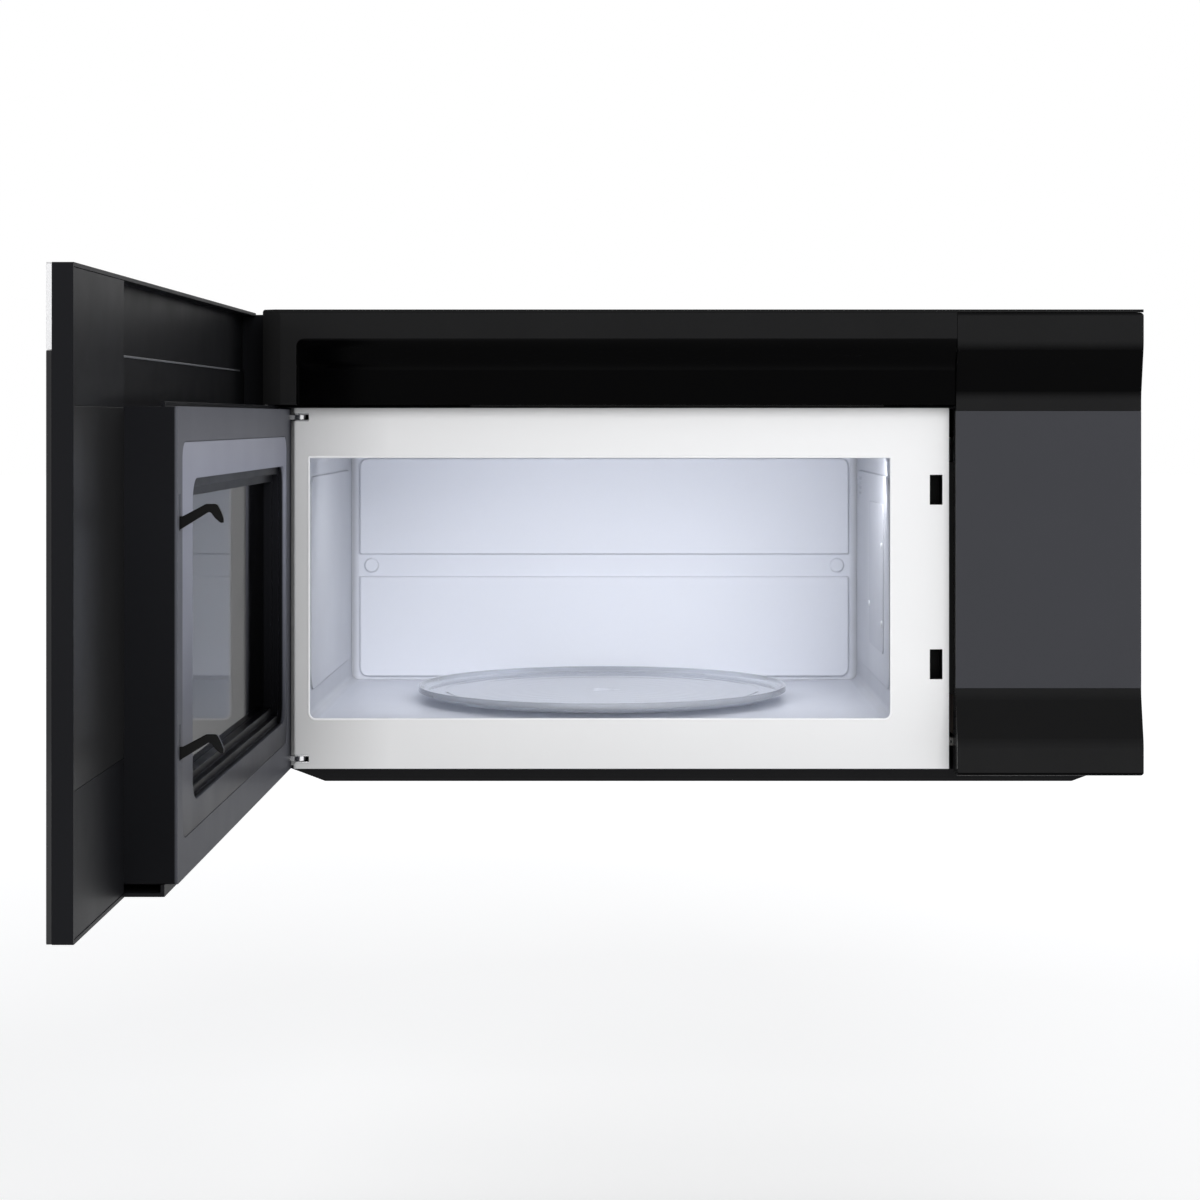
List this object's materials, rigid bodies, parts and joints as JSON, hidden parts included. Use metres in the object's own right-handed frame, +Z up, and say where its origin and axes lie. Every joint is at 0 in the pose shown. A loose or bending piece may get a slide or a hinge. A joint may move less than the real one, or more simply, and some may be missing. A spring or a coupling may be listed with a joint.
{
  "type": "over the range microwave",
  "caption": "Wall hung microwave oven with extractor hood, its full width door swung open on a left hinge to show the light enamel oven, glass turntable and latch slots.",
  "frame": {"origin": "centre of the rear face that lies on the wall", "axes": "+Y into the wall, +X to the right seen from the front, +Z up"},
  "size_m": [0.7876, 1.093, 0.416],
  "materials": {
    "case_black": "satin black paint",
    "frame_white": "smooth white enamel",
    "oven_enamel": "speckled light enamel",
    "mica": "matt pressed mica",
    "gloss_black": "high gloss moulded",
    "inset_grey": "satin grey glass sheet",
    "door_shell": "fine grained moulding",
    "door_cover_gloss": "gloss moulding",
    "door_glass": "tinted glass",
    "steel_band": "brushed",
    "inner_steel": "dark enamel",
    "choke_grey": "satin moulding",
    "window_glass": "clear glass",
    "mesh": "perforated black sheet",
    "tray_glass": "clear moulded glass",
    "latch_black": "satin moulding",
    "bright_steel": "bright plate",
    "ring_plastic": "smooth moulding",
    "zinc": "plain sheet",
    "iron": "varnished",
    "part_black": "plain moulding",
    "board_green": "circuit board",
    "filter_mesh": "expanded mesh",
    "lamp": "frosted lens"
  },
  "bodies": {
    "cabinet": {"outer_wrap": "case_black", "rear_panel": "case_black", "base_plate": "case_black", "hood_pan": "case_black", "bay_plate": "case_black", "air_deck": "case_black", "front_frame": "frame_white", "oven_cavity": "oven_enamel", "waveguide_cover": "mica", "top_fascia": "gloss_black", "top_trim": "gloss_black", "right_panel": "gloss_black", "panel_inset": "inset_grey", "latch_board": "latch_black", "door_switches": "latch_black", "hinge_brackets": "bright_steel", "base_screws": "bright_steel", "turntable_motor": "bright_steel", "blower_motor": "bright_steel", "cooling_motor": "bright_steel", "waveguide": "zinc", "magnetron": "zinc", "blower_housing": "zinc", "cooling_shroud": "zinc", "thermal_cutouts": "zinc", "hv_transformer": "iron", "hv_capacitor": "iron", "hv_diode": "part_black", "oven_lamp": "part_black", "cord_gland": "part_black", "charcoal_filter": "part_black", "power_board": "board_green", "noise_filter": "board_green", "grease_filter_left": "filter_mesh", "grease_filter_right": "filter_mesh", "cooktop_lamps": "lamp", "lamp_lenses": "lamp"},
    "door": {"door_frame": "door_shell", "door_glass": "door_glass", "door_band": "steel_band", "inner_door": "inner_steel", "choke_cover": "choke_grey", "window_glass": "window_glass", "window_screen": "mesh", "edge_cover_top": "door_shell", "edge_cover_middle": "door_cover_gloss", "edge_cover_bottom": "door_shell", "control_board": "board_green", "display_module": "board_green", "hinge_arms": "bright_steel", "latch_spring": "bright_steel"},
    "latch": {"latch_bar": "latch_black"},
    "turntable": {"drive_coupler": "ring_plastic", "glass_tray": "tray_glass"},
    "ring": {"roller_ring": "ring_plastic"},
    "roller_1": {"roller_1": "ring_plastic"},
    "roller_2": {"roller_2": "ring_plastic"},
    "roller_3": {"roller_3": "ring_plastic"},
    "cooling_rotor": {"cooling_fan": "part_black"},
    "vent_rotor": {"vent_impellers": "part_black"}
  },
  "joints": [
    {"name": "door_swing", "type": "hinge", "parent": "cabinet", "child": "door", "pos_m": [-0.348, -0.374, 0], "axis": [0, 0, 1], "range_deg": [0, 90]},
    {"name": "latch_lift", "type": "slide", "parent": "door", "child": "latch", "axis": [0, 0, 1], "range_m": [0, 0.005], "stiffness_N_per_m": 300, "springref_m": -0.004, "deforming": ["latch_spring"]},
    {"name": "tray_spin", "type": "hinge", "parent": "cabinet", "child": "turntable", "pos_m": [-0.087, -0.201, -0.15], "axis": [0, 0, 1], "continuous": true},
    {"name": "ring_spin", "type": "hinge", "parent": "cabinet", "child": "ring", "pos_m": [-0.087, -0.201, -0.15], "axis": [0, 0, 1], "continuous": true},
    {"name": "roller_1_spin", "type": "hinge", "parent": "ring", "child": "roller_1", "pos_m": [-0.087, -0.091, -0.1502], "axis": [0, 1, 0], "continuous": true},
    {"name": "roller_2_spin", "type": "hinge", "parent": "ring", "child": "roller_2", "pos_m": [-0.18226, -0.256, -0.1502], "axis": [-0.866, -0.5, 0], "continuous": true},
    {"name": "roller_3_spin", "type": "hinge", "parent": "ring", "child": "roller_3", "pos_m": [0.00826, -0.256, -0.1502], "axis": [0.866, -0.5, 0], "continuous": true},
    {"name": "cooling_fan_spin", "type": "hinge", "parent": "cabinet", "child": "cooling_rotor", "pos_m": [0.31, -0.06, 0.03], "axis": [0, 1, 0], "continuous": true},
    {"name": "vent_fan_spin", "type": "hinge", "parent": "cabinet", "child": "vent_rotor", "pos_m": [0, -0.09, 0.166], "axis": [1, 0, 0], "continuous": true}
  ],
  "couplings": [
    {"joint": "ring_spin", "follows": "tray_spin", "ratio": 0.5},
    {"joint": "roller_1_spin", "follows": "tray_spin", "ratio": -8.4615},
    {"joint": "roller_2_spin", "follows": "tray_spin", "ratio": -8.4615},
    {"joint": "roller_3_spin", "follows": "tray_spin", "ratio": -8.4615}
  ]
}
